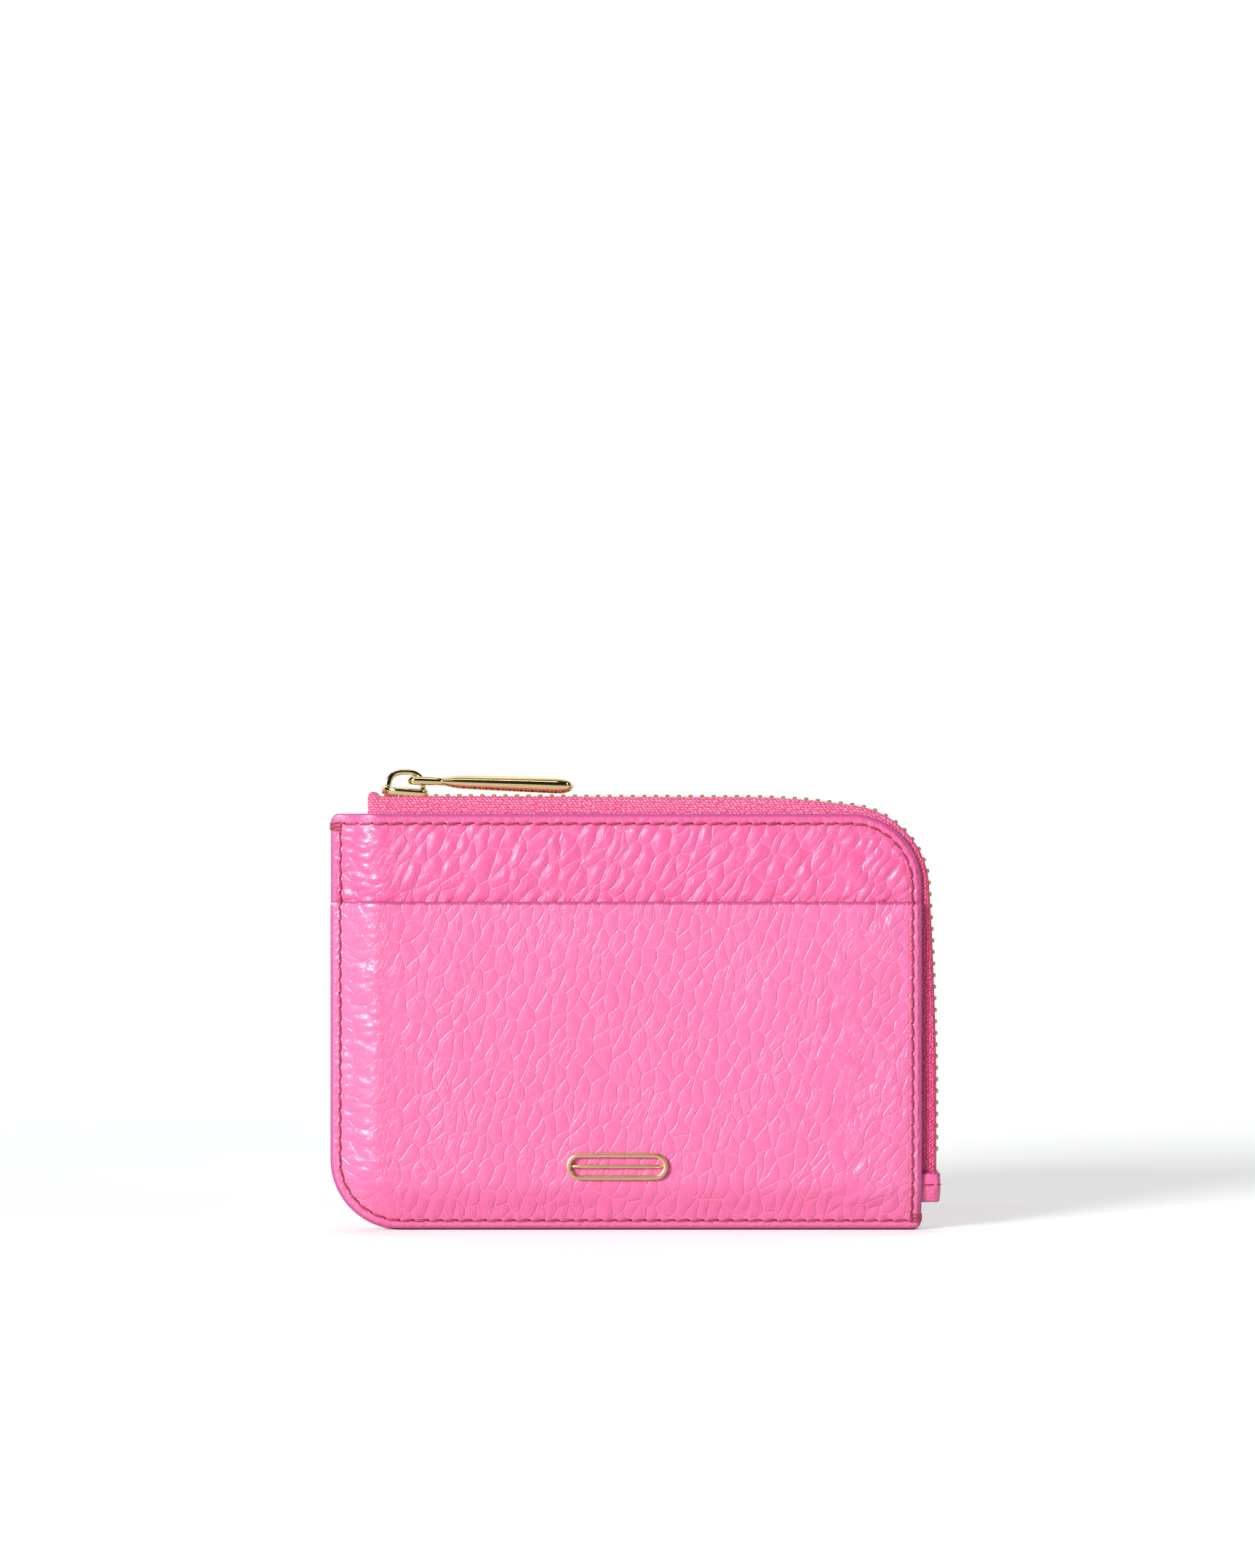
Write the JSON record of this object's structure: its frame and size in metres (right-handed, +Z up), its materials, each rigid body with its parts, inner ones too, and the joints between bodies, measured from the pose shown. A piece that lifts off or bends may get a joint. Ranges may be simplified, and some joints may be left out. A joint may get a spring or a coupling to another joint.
{
  "type": "zip-around leather wallet",
  "caption": "Flat pebbled leather wallet with a metal zip along the top and right side, a front slip pocket, lined inside with card slots, and a swinging bar puller.",
  "frame": {"origin": "bottom centre of the wallet standing on its sewn bottom edge", "axes": "+X along the bottom edge towards the zip's lower end, +Y from the front to the back, +Z up; the slip pocket faces -Y"},
  "size_m": [0.1303, 0.0138, 0.0975],
  "materials": {
    "leather": "pebbled, semi-gloss",
    "lining": "fine woven",
    "tape": "woven, matt",
    "thread": "twisted, satin",
    "metal": "polished, pale gold plating"
  },
  "bodies": {
    "wallet_body": {"back_panel": "leather", "back_lining": "lining", "card_slot_1": "leather", "card_slot_2": "leather", "card_slot_3": "leather", "front_panel": "leather", "front_lining": "lining", "slip_pocket": "leather", "front_stitching": "thread", "back_stitching": "thread", "bar_tack_top": "thread", "bar_tack_bottom": "thread", "emblem_link": "metal", "zipper_tape_back": "tape", "zipper_tape_front_start": "tape", "zipper_tape_front_end": "tape", "zipper_teeth_back": "metal", "zipper_teeth_front_start": "metal", "top_stop_front": "metal", "top_stop_back": "metal", "zip_end_tab": "leather", "tab_stitching": "thread"},
    "front_flap": {"front_panel_flap": "leather", "front_lining_flap": "lining", "slip_pocket_flap": "leather", "front_stitching_flap": "thread", "zipper_tape_front": "tape", "zipper_teeth_front": "metal"},
    "slider": {"slider_body": "metal", "slider_crown": "metal"},
    "puller": {"puller": "metal"}
  },
  "joints": [
    {"name": "mouth_open", "type": "hinge", "parent": "wallet_body", "child": "front_flap", "pos_m": [-0.04245, -0.0059, 0.091], "axis": [0.8095, 0, -0.5871], "range_deg": [0, 25], "stiffness_Nm_per_rad": 0.05},
    {"name": "zip_slide", "type": "slide", "parent": "wallet_body", "child": "slider", "axis": [1, 0, 0], "range_m": [0, 0.087], "deforming": ["zipper_teeth_back", "zipper_teeth_front", "zipper_teeth_front_start"]},
    {"name": "puller_swing", "type": "hinge", "parent": "slider", "child": "puller", "pos_m": [-0.04745, 0.00105, 0.09515], "axis": [0, -1, 0], "range_deg": [0, 175]}
  ]
}
